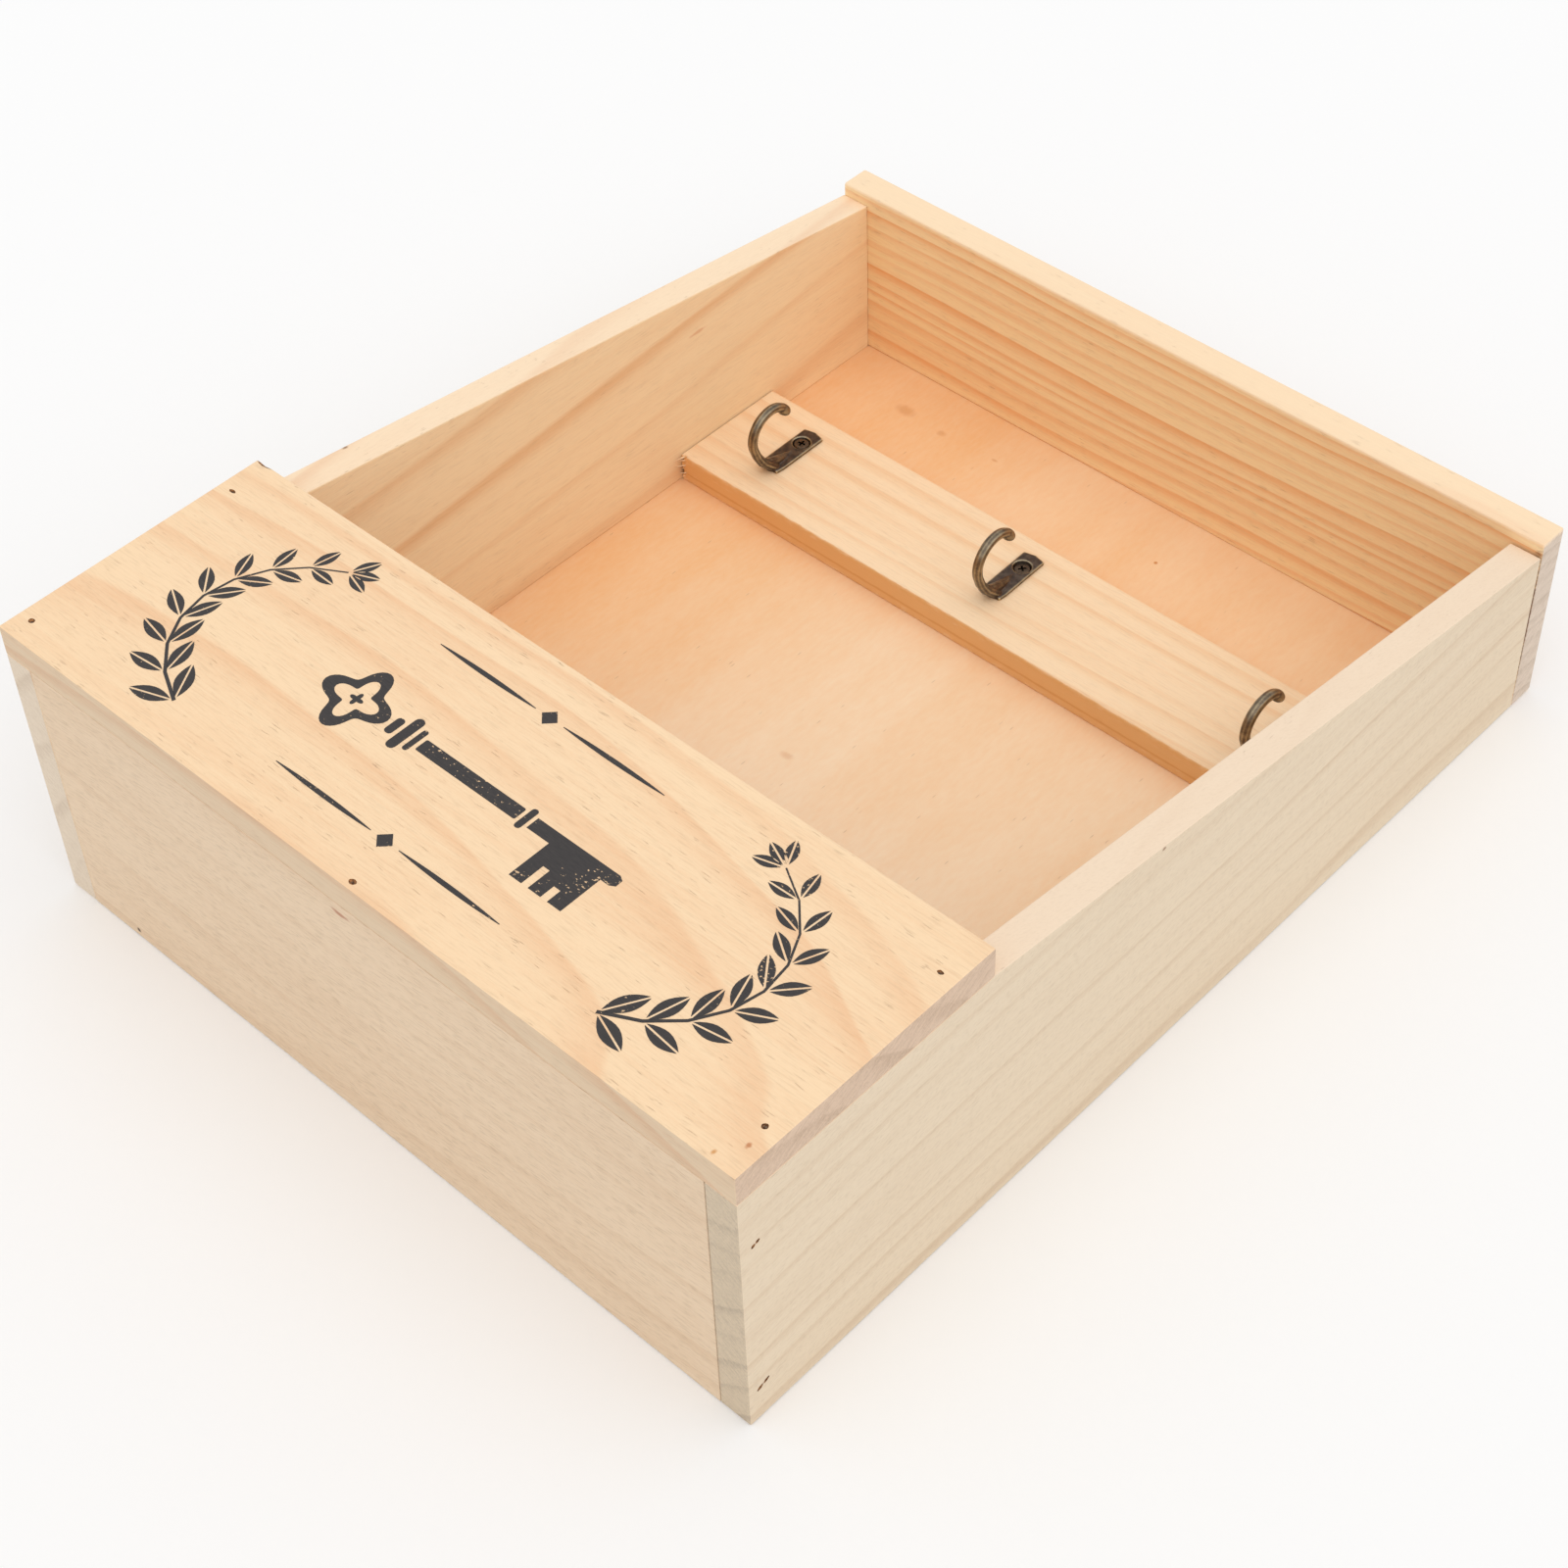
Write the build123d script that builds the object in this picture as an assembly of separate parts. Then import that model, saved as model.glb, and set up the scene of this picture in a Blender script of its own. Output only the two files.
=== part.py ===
from build123d import *
import os

# Wall box for keys and letters, modelled lying on its back, in millimetres.
# +X is right and +Y is up as it hangs, and +Z points out of the wall.
# The origin is the middle of the back face.

# Boards of the box
box_width = 210.0
box_height = 268.0
side_thickness = 8.0
side_depth_low = 72.0
side_depth_high = 47.0
top_thickness = 8.0
top_depth = 50.5
bottom_thickness = 8.0
front_thickness = 8.0
front_height = 70.0
edge_round = 0.5

# Back panel, let into a rabbet all round so that it is flush with the back
panel_thickness = 2.0
rabbet_width = 4.0
panel_clearance = 0.2

# Hook rail on the panel, placed by the clear height that is left between it and the top board
rail_height = 34.0
rail_thickness = 8.0
rail_top_gap = 37.4
rail_end_gap = 0.4

# Brads that hold the boards, set a little below the surface
brad_diameter = 1.2
brad_head_diameter = 1.8
brad_head_height = 0.8
brad_length = 20.0
brad_point = 2.0
brad_set = 0.4

# Where each pair of brads sits, as shares of the board's height or depth
front_left_brad_shares = (0.08, 0.85)
front_right_brad_shares = (0.17, 0.84)
front_middle_brad_shares = (0.516, 0.23)
bottom_brad_depth_shares = (0.145, 0.785)
bottom_brad_inset_share = 0.5
top_brad_depth_shares = (0.25, 0.78)

# Flat-headed pins that hold the panel to the boards and to the rail
pin_diameter = 1.0
pin_head_diameter = 2.4
pin_head_height = 0.5
pin_length = 8.5
pin_point = 1.2
panel_pin_shares = (0.1, 0.5, 0.9)
rail_pin_shares = (0.15, 0.5, 0.85)

# Hooks: a flat plate, a rib that rises along it, and an arm bent round in a C
hook_plate_width = 6.2
hook_plate_length = 17.0
hook_plate_thickness = 0.9
hook_plate_corner = 0.4
hook_arm_width = 2.5
hook_arm_depth = 2.2
hook_bend_radius = 6.6
hook_bend_height = 11.6
hook_bend_rise = 1.35
hook_root_rise = 1.4
hook_rib_width = 1.9
hook_rib_length = 8.7
hook_rib_height = 3.4
hook_tip_width = 3.2
hook_tip_thickness = 1.6
hook_root_angle = 225.0
hook_tip_angle = 40.0
hook_section_shares = ((-0.5, -0.5), (0.5, -0.5), (0.5, 0.0), (0.28, 0.5), (-0.28, 0.5), (-0.5, 0.0))

# Places of the three hooks on the rail: shares of its length and of its height, to the plate's middle,
# and the few degrees that each was turned as its screw went in
hook_names = ("left", "middle", "right")
hook_place_shares = ((0.106, 0.553), (0.477, 0.585), (0.891, 0.535))
hook_turns = (0.5, 1.5, 0.0)

# Screws: countersunk, with a cross recess, ending a little short of the rail's back
screw_shank_diameter = 2.2
screw_head_diameter = 4.6
screw_head_height = 1.6
screw_point = 2.0
screw_point_cover = 0.6
screw_sink = 0.35
screw_offset = 3.9
recess_length = 2.6
recess_width = 0.6
recess_depth = 0.7

# How far a cutting shape runs past the face that it opens
overrun = 1.0

half_width = box_width / 2
low_end = -box_height / 2
high_end = box_height / 2
side_length = box_height - top_thickness
inner_half_width = half_width - side_thickness
front_face = side_depth_low + front_thickness
rail_face = panel_thickness + rail_thickness
rail_length = 2 * (inner_half_width - rail_end_gap)
rail_low = high_end - top_thickness - rail_top_gap - rail_height
screw_length = hook_plate_thickness - screw_sink + rail_thickness - screw_point_cover

CORNER = (Align.MIN, Align.MIN, Align.MIN)
ON_AXIS_UP = (Align.CENTER, Align.CENTER, Align.MIN)
ON_AXIS_DOWN = (Align.CENTER, Align.CENTER, Align.MAX)


def block(low, high):
    """Box between two corners."""
    size = [b - a for a, b in zip(low, high)]
    return Pos(*low) * Box(*size, align=CORNER)


def share_of(low, high, share):
    """The point at this share of the way from low to high."""
    return low + (high - low) * share


def front_rim(solid):
    """The edges round a board's foremost face."""
    return solid.faces().sort_by(Axis.Z)[-1].edges()


def make_panel_pocket():
    """The space that the back panel is let into."""
    reach = inner_half_width + rabbet_width
    low = (-reach, low_end + bottom_thickness - rabbet_width, -overrun)
    high = (reach, high_end - top_thickness + rabbet_width, panel_thickness)
    return block(low, high)


def make_back_panel():
    reach = inner_half_width + rabbet_width - panel_clearance
    low = (-reach, low_end + bottom_thickness - rabbet_width + panel_clearance, 0)
    high = (reach, high_end - top_thickness + rabbet_width - panel_clearance, panel_thickness)
    return block(low, high)


def make_side(outer_x, inner_x):
    """Side board: full depth behind the front board, then a straight taper to the top."""
    outline = Polyline(
        (low_end, 0),
        (low_end, side_depth_low),
        (low_end + front_height, side_depth_low),
        (low_end + side_length, side_depth_high),
        (low_end + side_length, 0),
        close=True,
    )
    face = Pos(min(outer_x, inner_x), 0, 0) * (Plane.YZ * make_face(outline))
    side = extrude(face, side_thickness, dir=(1, 0, 0))
    fore_faces = side.faces().filter_by(lambda f: f.normal_at().Z > 0).sort_by(Axis.Y)
    return fillet(fore_faces[-1].edges().filter_by(Axis.X, reverse=True), edge_round)


def make_top_board():
    low = (-half_width, high_end - top_thickness, 0)
    board = block(low, (half_width, high_end, top_depth))
    return fillet(front_rim(board), edge_round)


def make_bottom_board():
    low = (-inner_half_width, low_end, 0)
    return block(low, (inner_half_width, low_end + bottom_thickness, side_depth_low))


def make_front_board():
    low = (-half_width, low_end, side_depth_low)
    board = block(low, (half_width, low_end + front_height, front_face))
    return fillet(front_rim(board), edge_round)


def make_hook_rail():
    low = (-rail_length / 2, rail_low, panel_thickness)
    board = block(low, (rail_length / 2, rail_low + rail_height, rail_face))
    return fillet(front_rim(board), edge_round)


def make_nail(diameter, head_diameter, head_height, length, point):
    """Round nail that points along -Z, the top of its head at the origin."""
    radius = diameter / 2
    head = Cylinder(head_diameter / 2, head_height, align=ON_AXIS_DOWN)
    shank = Cylinder(radius, length - point, align=ON_AXIS_DOWN)
    tip = Pos(0, 0, point - length) * Cone(0, radius, point, align=ON_AXIS_DOWN)
    return head + shank + tip


def make_screw_blank():
    """Countersunk screw that points along -Z, the top of its head at the origin, not yet recessed."""
    radius = screw_shank_diameter / 2
    head = Cone(radius, screw_head_diameter / 2, screw_head_height, align=ON_AXIS_DOWN)
    shank = Cylinder(radius, screw_length - screw_point, align=ON_AXIS_DOWN)
    tip = Pos(0, 0, screw_point - screw_length) * Cone(0, radius, screw_point, align=ON_AXIS_DOWN)
    return head + shank + tip


def make_recess():
    """Cross recess in the top of a screw's head."""
    bar = Box(recess_length, recess_width, 2 * recess_depth)
    return bar + Rot(0, 0, 90) * bar


def make_hook_blank():
    """Hook on the XY plane with the middle of its plate's back at the origin, not yet drilled."""
    plate_low = -hook_plate_length / 2
    plate = extrude(RectangleRounded(hook_plate_width, hook_plate_length, hook_plate_corner),
                    hook_plate_thickness)

    bend_middle = (plate_low + hook_bend_rise, hook_bend_height)
    bend = CenterArc(bend_middle, hook_bend_radius, hook_root_angle, hook_tip_angle - hook_root_angle)
    root_point = (plate_low + hook_root_rise, hook_plate_thickness)
    root = TangentArc(bend @ 0, root_point, tangent=(bend % 0) * -1)
    tip_to_root = Plane.YZ * Wire([bend.edge(), root.edge()])

    points = [(x * hook_arm_width, y * hook_arm_depth) for x, y in hook_section_shares]
    across_tip = Plane(origin=tip_to_root @ 0, x_dir=(1, 0, 0), z_dir=tip_to_root % 0)
    arm = sweep(across_tip * make_face(Polyline(*points, close=True)), path=tip_to_root)

    outward = tip_to_root @ 0 - Vector(0, *bend_middle)
    along_tip = Plane(origin=tip_to_root @ 0, x_dir=(1, 0, 0), z_dir=outward)
    tip = along_tip * Cylinder(hook_tip_width / 2, hook_tip_thickness)

    rib_head = plate_low + hook_rib_length
    rib_foot = (plate_low + hook_root_rise, hook_rib_height)
    crest = TangentArc((rib_head, hook_plate_thickness), rib_foot, tangent=(-1, 0))
    rest = Polyline(rib_foot, (plate_low, hook_plate_thickness), (plate_low, 0), (rib_head, 0),
                    (rib_head, hook_plate_thickness))
    rib_face = Plane.YZ * make_face(Wire([crest.edge(), *rest.edges()]))
    rib = extrude(rib_face, hook_rib_width / 2, both=True)
    return plate + arm + tip + rib


def make_countersink():
    """Hole for a hook's screw, as it opens at the plate's face, which is at the origin."""
    flare = (screw_head_diameter - screw_shank_diameter) / 2 / screw_head_height
    mouth = screw_shank_diameter / 2 + flare * (screw_head_height + screw_sink)
    cone = Cone(screw_shank_diameter / 2, mouth, screw_head_height + screw_sink, align=ON_AXIS_DOWN)
    return cone + Cylinder(screw_shank_diameter / 2, screw_length, align=ON_AXIS_DOWN)


def driven(nail, places, outward):
    """Copies of a nail with their heads at these places, facing outward."""
    return [Plane(origin=place, z_dir=outward) * nail for place in places]


nodes = {
    "back_panel": make_back_panel(),
    "left_side": make_side(-half_width, -inner_half_width),
    "right_side": make_side(half_width, inner_half_width),
    "top_board": make_top_board(),
    "bottom_board": make_bottom_board(),
    "front_board": make_front_board(),
    "hook_rail": make_hook_rail(),
}

# The rabbet for the panel
panel_pocket = make_panel_pocket()
for board in ("left_side", "right_side", "top_board", "bottom_board"):
    nodes[board] -= panel_pocket

# Brads, and the holes and pits that they leave in the boards they join
brad = make_nail(brad_diameter, brad_head_diameter, brad_head_height, brad_length, brad_point)
brad_hole = brad + Cylinder(brad_head_diameter / 2, brad_set + overrun, align=ON_AXIS_UP)
side_middle = half_width - side_thickness / 2
bottom_middle = low_end + bottom_thickness * bottom_brad_inset_share
front_head = front_face - brad_set
side_head = half_width - brad_set
top_head = high_end - brad_set

brad_groups = {
    "front_left_brads": (
        [(-side_middle, low_end + front_height * s, front_head) for s in front_left_brad_shares],
        (0, 0, 1), ("front_board", "left_side")),
    "front_right_brads": (
        [(side_middle, low_end + front_height * s, front_head) for s in front_right_brad_shares],
        (0, 0, 1), ("front_board", "right_side")),
    "front_middle_brad": (
        [(share_of(-half_width, half_width, front_middle_brad_shares[0]),
          low_end + bottom_thickness * front_middle_brad_shares[1], front_head)],
        (0, 0, 1), ("front_board", "bottom_board")),
    "bottom_left_brads": (
        [(-side_head, bottom_middle, side_depth_low * s) for s in bottom_brad_depth_shares],
        (-1, 0, 0), ("left_side", "bottom_board")),
    "bottom_right_brads": (
        [(side_head, bottom_middle, side_depth_low * s) for s in bottom_brad_depth_shares],
        (1, 0, 0), ("right_side", "bottom_board")),
    "top_left_brads": (
        [(-side_middle, top_head, side_depth_high * s) for s in top_brad_depth_shares],
        (0, 1, 0), ("top_board", "left_side")),
    "top_right_brads": (
        [(side_middle, top_head, side_depth_high * s) for s in top_brad_depth_shares],
        (0, 1, 0), ("top_board", "right_side")),
}
for name, (places, outward, boards) in brad_groups.items():
    nodes[name] = Compound(children=driven(brad, places, outward))
    for board in boards:
        nodes[board] -= driven(brad_hole, places, outward)

# Pins through the panel from behind, into the middle of the rabbet's ledge and into the rail
pin = make_nail(pin_diameter, pin_head_diameter, pin_head_height, pin_length, pin_point)
ledge_x = inner_half_width + rabbet_width / 2
ledge_low = low_end + bottom_thickness - rabbet_width / 2
ledge_high = high_end - top_thickness + rabbet_width / 2
left_pins = [(-ledge_x, share_of(ledge_low, ledge_high, s), 0) for s in panel_pin_shares]
right_pins = [(ledge_x, share_of(ledge_low, ledge_high, s), 0) for s in panel_pin_shares]
low_pins = [(share_of(-ledge_x, ledge_x, s), ledge_low, 0) for s in panel_pin_shares]
high_pins = [(share_of(-ledge_x, ledge_x, s), ledge_high, 0) for s in panel_pin_shares]
rail_middle = rail_low + rail_height / 2
rail_pins = [(share_of(-rail_length / 2, rail_length / 2, s), rail_middle, 0) for s in rail_pin_shares]
pin_groups = {
    "left_side": left_pins,
    "right_side": right_pins,
    "bottom_board": low_pins,
    "top_board": high_pins,
    "hook_rail": rail_pins,
}
panel_pins = []
for board, places in pin_groups.items():
    pins = driven(pin, places, (0, 0, -1))
    nodes[board] -= pins
    nodes["back_panel"] -= pins
    if board == "hook_rail":
        nodes["rail_pins"] = Compound(children=pins)
    else:
        panel_pins += pins
nodes["panel_pins"] = Compound(children=panel_pins)

# Hooks on the rail, each clamped by one screw
hook_blank = make_hook_blank()
screw_blank = make_screw_blank()
screw_place = Pos(0, screw_offset, hook_plate_thickness - screw_sink)
hook = hook_blank - Pos(0, screw_offset, hook_plate_thickness) * make_countersink()
screw = screw_place * (screw_blank - make_recess())
for name, (along, up), turn in zip(hook_names, hook_place_shares, hook_turns):
    middle_x = share_of(-rail_length / 2, rail_length / 2, along)
    place = Pos(middle_x, rail_low + rail_height * up, rail_face) * Rot(0, 0, turn)
    nodes["hook_" + name] = place * hook
    nodes["hook_screw_" + name] = place * screw
    nodes["hook_rail"] -= place * screw_place * screw_blank

os.makedirs("parts", exist_ok=True)
for name, shape in nodes.items():
    export_step(shape, f"parts/{name}.step")
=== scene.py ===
import math

import bpy
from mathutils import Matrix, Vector


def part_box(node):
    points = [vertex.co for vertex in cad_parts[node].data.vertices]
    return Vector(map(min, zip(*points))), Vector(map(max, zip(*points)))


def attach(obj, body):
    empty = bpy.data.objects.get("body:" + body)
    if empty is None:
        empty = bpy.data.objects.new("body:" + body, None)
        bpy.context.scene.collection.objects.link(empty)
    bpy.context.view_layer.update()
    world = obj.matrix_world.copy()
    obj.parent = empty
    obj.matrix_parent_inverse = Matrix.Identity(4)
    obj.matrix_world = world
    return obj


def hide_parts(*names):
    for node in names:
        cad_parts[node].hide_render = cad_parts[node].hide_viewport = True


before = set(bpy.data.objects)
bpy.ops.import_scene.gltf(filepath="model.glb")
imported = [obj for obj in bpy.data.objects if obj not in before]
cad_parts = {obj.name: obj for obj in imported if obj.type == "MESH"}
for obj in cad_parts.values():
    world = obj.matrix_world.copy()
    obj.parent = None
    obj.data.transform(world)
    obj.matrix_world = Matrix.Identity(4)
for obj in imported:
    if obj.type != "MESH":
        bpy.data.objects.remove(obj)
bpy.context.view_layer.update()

bpy.context.scene.view_settings.view_transform = "Standard"

# Left side of the box: a planed pine board with its grain running up the box, sawn to a taper above the
# letter pocket and rabbeted behind for the panel. Brads through it hold the end of the bottom board.
MM = 0.001
arris = 0.35 * MM
rabbet_play = 0.2 * MM
side_depth_high = 47.0 * MM
past = 2.0 * MM
nail_head = 1.8 * MM
pit_ragged = 0.13 * MM
along_z = 2


def add_block(name, low, high, finish):
    """A block of this finish between two corners, with its place in its mesh."""
    bpy.ops.object.select_all(action="DESELECT")
    bpy.ops.mesh.primitive_cube_add(size=1, location=(Vector(low) + Vector(high)) / 2)
    block = bpy.context.object
    block.name = name
    block.data.name = name
    block.scale = Vector(high) - Vector(low)
    bpy.ops.object.transform_apply(location=True, rotation=True, scale=True)
    block.data.materials.append(finish)
    return block


def select_where(piece, test):
    """Edit mode, with only the vertices selected whose place passes the test."""
    bpy.ops.object.mode_set(mode="EDIT")
    bpy.ops.mesh.select_mode(type="VERT")
    bpy.ops.mesh.select_all(action="DESELECT")
    bpy.ops.object.mode_set(mode="OBJECT")
    for vertex in piece.data.vertices:
        vertex.select = test(vertex.co)
    bpy.ops.object.mode_set(mode="EDIT")


def finish_modifier(piece, kind, **settings):
    """Adds a modifier with these settings and applies it."""
    bpy.context.view_layer.objects.active = piece
    modifier = piece.modifiers.new(kind.lower(), kind)
    for key, value in settings.items():
        setattr(modifier, key, value)
    bpy.ops.object.modifier_apply(modifier=modifier.name)


def carve(piece, cutter):
    """Takes the cutter's shape out of the piece. The cut faces keep the cutter's finish."""
    finish_modifier(piece, "BOOLEAN", object=cutter, operation="DIFFERENCE", solver="EXACT",
                    material_mode="TRANSFER")
    bpy.data.objects.remove(cutter)


def carve_rabbet(board):
    """The step behind a board that the back panel lies in."""
    low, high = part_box("back_panel")
    play = Vector((rabbet_play, rabbet_play, 0))
    finish = board.data.materials[0]
    carve(board, add_block("rabbet", low - play - Vector((0, 0, past)), high + play, finish))


def ease_edges(board, width):
    """Takes the sharpness off every edge, as sandpaper does."""
    finish_modifier(board, "BEVEL", width=width, segments=2, limit_method="ANGLE",
                    angle_limit=math.radians(40))


def make_side(name, finish):
    """Side board with its taper, its rabbet and its eased edges."""
    low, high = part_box(name)
    pocket_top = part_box("front_board")[1].y
    side = add_block(name + "_board", low, high, finish)
    select_where(side, lambda co: True)
    bpy.ops.mesh.bisect(plane_co=(0, pocket_top, 0), plane_no=(0, 1, 0))
    select_where(side, lambda co: co.z > high.z - past and co.y > high.y - past)
    bpy.ops.transform.translate(value=(0, 0, side_depth_high - high.z))
    bpy.ops.object.mode_set(mode="OBJECT")
    carve_rabbet(side)
    ease_edges(side, arris)
    return side


class Finish:
    """A material in the making: short calls for the nodes of its pattern."""

    def __init__(self, name):
        self.material = bpy.data.materials.new(name)
        self.material.use_nodes = True
        self.tree = self.material.node_tree
        self.shader = self.tree.nodes["Principled BSDF"]
        self.surface = self.tree.nodes.new("ShaderNodeTexCoord")

    def feed(self, socket, value):
        if isinstance(value, bpy.types.NodeSocket):
            self.tree.links.new(value, socket)
        elif value is not None:
            socket.default_value = value

    def node(self, kind, settings, *values, out=0):
        made = self.tree.nodes.new("ShaderNode" + kind)
        for key, value in settings.items():
            setattr(made, key, value)
        for socket, value in zip(made.inputs, values):
            self.feed(socket, value)
        return made.outputs[out]

    def math(self, operation, *values):
        return self.node("Math", {"operation": operation}, *values)

    def vector(self, operation, *values, out=0):
        return self.node("VectorMath", {"operation": operation}, *values, out=out)

    def noise(self, place, stretch, detail, out=0):
        at = self.vector("MULTIPLY", place, stretch)
        return self.node("TexNoise", {}, at, None, 1.0, detail, 0.55, out=out)

    def step(self, value, low, high):
        """0 at low, 1 at high and smooth between, either way round."""
        return self.node("MapRange", {"interpolation_type": "SMOOTHSTEP"}, value, low, high)

    def mix(self, share, first, second, blend="MIX"):
        made = self.tree.nodes.new("ShaderNodeMix")
        made.data_type = "RGBA"
        made.blend_type = blend
        for index, value in ((0, share), (6, first), (7, second)):
            self.feed(made.inputs[index], value)
        return made.outputs[2]

    def close(self, colour, roughness, height, depth):
        """Feeds the shader: colour, roughness, and a height that stands for this many metres."""
        self.feed(self.shader.inputs["Base Color"], colour)
        self.feed(self.shader.inputs["Roughness"], roughness)
        bump = self.tree.nodes.new("ShaderNodeBump")
        bump.inputs["Distance"].default_value = depth
        self.feed(bump.inputs["Height"], height)
        self.feed(self.shader.inputs["Normal"], bump.outputs["Normal"])
        return self.material


def tint(red, green, blue):
    """A colour as a shader takes it, from its screen values of 0 to 255."""
    return tuple((v / 255 / 12.92 if v < 11 else ((v / 255 + 0.055) / 1.055) ** 2.4)
                 for v in (red, green, blue)) + (1.0,)


def pine(name, turn, heart, slope, bow, ring_gap, pale, band, band_share, crisp=2.0, sway=6.0, pores=0.5,
         pore_shade=0.35, top_highlight=0.0, raw=(1, 1, 1, 1), raw_side=1.0, fuzz=0.2, fuzz_turn=0.0,
         end_pale=tint(226, 205, 178), end_dark=tint(172, 152, 130), marks=()):
    """Pine sawn from a log. turn lays the grain along X. In millimetres, heart is where the log's middle
    passes the board, slope and bow are how it runs off along the grain, and ring_gap is a year's growth.
    Faces towards +Z are made paler and less furry by a share of painted highlight, for the light from
    above. The face on the raw_side of the grain is tinged with raw.
    fuzz is fur from the saw. A mark is a patch of colour, some for stains and some for painted highlight
    and shade: its middle, half sizes, colour and strength."""
    f = Finish(name)
    at = f.surface.outputs["Object"]
    place = f.node("Mapping", {}, at, (0, 0, 0), (0, 0, turn), (1 / MM, 1 / MM, 1 / MM))
    facing = f.node("Mapping", {"vector_type": "VECTOR"}, f.surface.outputs["Normal"], None, (0, 0, turn))

    drift = f.vector("SUBTRACT", f.noise(place, (0.007, 0.024, 0.024), 1.5, out=1), (0.5, 0.5, 0.5))
    wood = f.vector("ADD", place, f.vector("MULTIPLY", drift, (0, 2 * sway, 2 * sway)))
    along = f.node("SeparateXYZ", {}, place)
    curl = f.math("MULTIPLY", f.math("MULTIPLY", along, along), 0.0001)
    runoff = f.vector("ADD", f.vector("SCALE", (0, slope[0], slope[1]), None, None, along),
                      f.vector("SCALE", (0, bow[0], bow[1]), None, None, curl))
    log = f.vector("SUBTRACT", f.vector("SUBTRACT", wood, (0, heart[0], heart[1])), runoff)
    radius = f.vector("LENGTH", f.vector("MULTIPLY", log, (0, 1, 1)), out=1)
    uneven = f.node("TexNoise", {"noise_dimensions": "1D"}, None,
                    f.math("MULTIPLY", radius, 0.35 / ring_gap), 1.0)
    rings = f.math("ADD", f.math("DIVIDE", radius, ring_gap), f.math("MULTIPLY", uneven, 1.4))
    phase = f.math("FRACT", rings)
    late = f.math("MULTIPLY", f.math("POWER", f.step(phase, 0.25, 0.9), crisp), f.step(phase, 1.0, 0.91))
    year = f.node("TexWhiteNoise", {"noise_dimensions": "1D"}, None, f.math("FLOOR", rings))
    late = f.math("MULTIPLY", late, f.math("MULTIPLY_ADD", year, 0.75, 0.25))

    fibre = f.noise(place, (0.05, 1.7, 1.7), 4.0)
    strands = f.noise(wood, (0.006, 0.4, 0.4), 3.0)
    cloud = f.noise(place, (0.009, 0.05, 0.05), 2.0)
    grit = f.noise(place, (0.9, 2.6, 2.6), 3.0)
    tone = f.math("MULTIPLY_ADD", late, band_share, 0.06)
    for layer, share in ((cloud, 0.4), (strands, 0.5), (fibre, 0.4), (grit, 0.25)):
        tone = f.math("ADD", tone, f.math("MULTIPLY_ADD", layer, share, -share / 2))
    colour = f.mix(f.math("MAXIMUM", f.math("MINIMUM", tone, 1.0), 0.0), pale, band)

    # Painted highlight: faces towards +Z are made paler, as the light falls on them from above.
    facing_up = f.step(f.node("SeparateXYZ", {}, facing, out=2), 0.6, 0.9)
    colour = f.mix(f.math("MULTIPLY", facing_up, top_highlight), colour, tint(255, 229, 202))
    sideways = f.math("MULTIPLY", f.node("SeparateXYZ", {}, facing, out=1), raw_side)
    colour = f.mix(f.step(sideways, 0.6, 0.9), colour, raw, "MULTIPLY")

    wander = f.vector("MULTIPLY", f.noise(place, (0.16, 0.3, 0.3), 1.0, out=1), (0, 1.0, 1.0))
    canal_at = f.vector("MULTIPLY", f.vector("ADD", place, wander), (0.13, 2.6, 2.6))
    canal = f.node("TexVoronoi", {}, canal_at, None, 1.0)
    chosen = f.node("SeparateColor", {}, canal.node.outputs["Color"])
    patchy = f.noise(place, (0.02, 0.1, 0.1), 2.0)
    kept = f.math("ADD", chosen, f.math("MULTIPLY_ADD", patchy, 1.4, -0.7))
    kept = f.step(kept, 1.0 - pores, 1.5 - pores)
    canal = f.math("MULTIPLY", f.step(canal, 0.25, 0.08), kept)
    colour = f.mix(f.math("MULTIPLY", canal, pore_shade), colour, tint(152, 104, 62))

    turned = f.node("Mapping", {}, place, None, (0, fuzz_turn, fuzz_turn))
    torn = f.noise(turned, (0.2, 2.6, 2.6), 2.0)
    # Faces towards +Z also lose some fur, as part of their painted highlight.
    furry = f.math("MULTIPLY_ADD", facing_up, -top_highlight * fuzz, fuzz)
    colour = f.mix(f.math("MULTIPLY", f.step(torn, 0.46, 0.74), furry), colour, tint(164, 136, 104))

    end = f.step(f.math("ABSOLUTE", f.node("SeparateXYZ", {}, facing)), 0.55, 0.9)
    end_turn = -0.6
    shear = f.noise(f.node("Mapping", {}, place, None, (end_turn, 0, 0)), (0.5, 0.3, 2.6), 4.0)
    end_tone = f.math("MULTIPLY_ADD", f.math("SUBTRACT", shear, 0.4), 1.3, f.math("MULTIPLY", late, 0.38))
    end_tone = f.math("MULTIPLY_ADD", f.math("SUBTRACT", grit, 0.5), 0.9, end_tone)
    end_tone = f.math("MAXIMUM", f.math("MINIMUM", end_tone, 1.0), 0.0)
    colour = f.mix(end, colour, f.mix(end_tone, end_pale, end_dark))

    millimetres = f.vector("SCALE", at, None, None, 1 / MM)
    ragged = f.noise(place, (0.3, 0.9, 0.9), 3.0)
    for spot, size, mark_colour, share in marks:
        away = f.vector("DIVIDE", f.vector("SUBTRACT", millimetres, spot), size)
        near = f.math("MULTIPLY_ADD", ragged, 1.2, f.vector("LENGTH", away, out=1))
        colour = f.mix(f.math("MULTIPLY", f.step(near, 1.6, 0.9), share), colour, mark_colour)

    height = f.math("ADD", f.math("MULTIPLY", fibre, 0.6), f.math("MULTIPLY", grit, 0.4))
    height = f.math("MULTIPLY_ADD", torn, f.math("MULTIPLY_ADD", end, -fuzz, fuzz), height)
    height = f.math("MULTIPLY_ADD", shear, end, height)
    height = f.math("SUBTRACT", height, canal)
    roughness = f.math("MULTIPLY_ADD", fibre, 0.2, 0.5)
    f.shader.inputs["Specular IOR Level"].default_value = 0.3
    return f.close(colour, roughness, height, 0.07 * MM)


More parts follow.
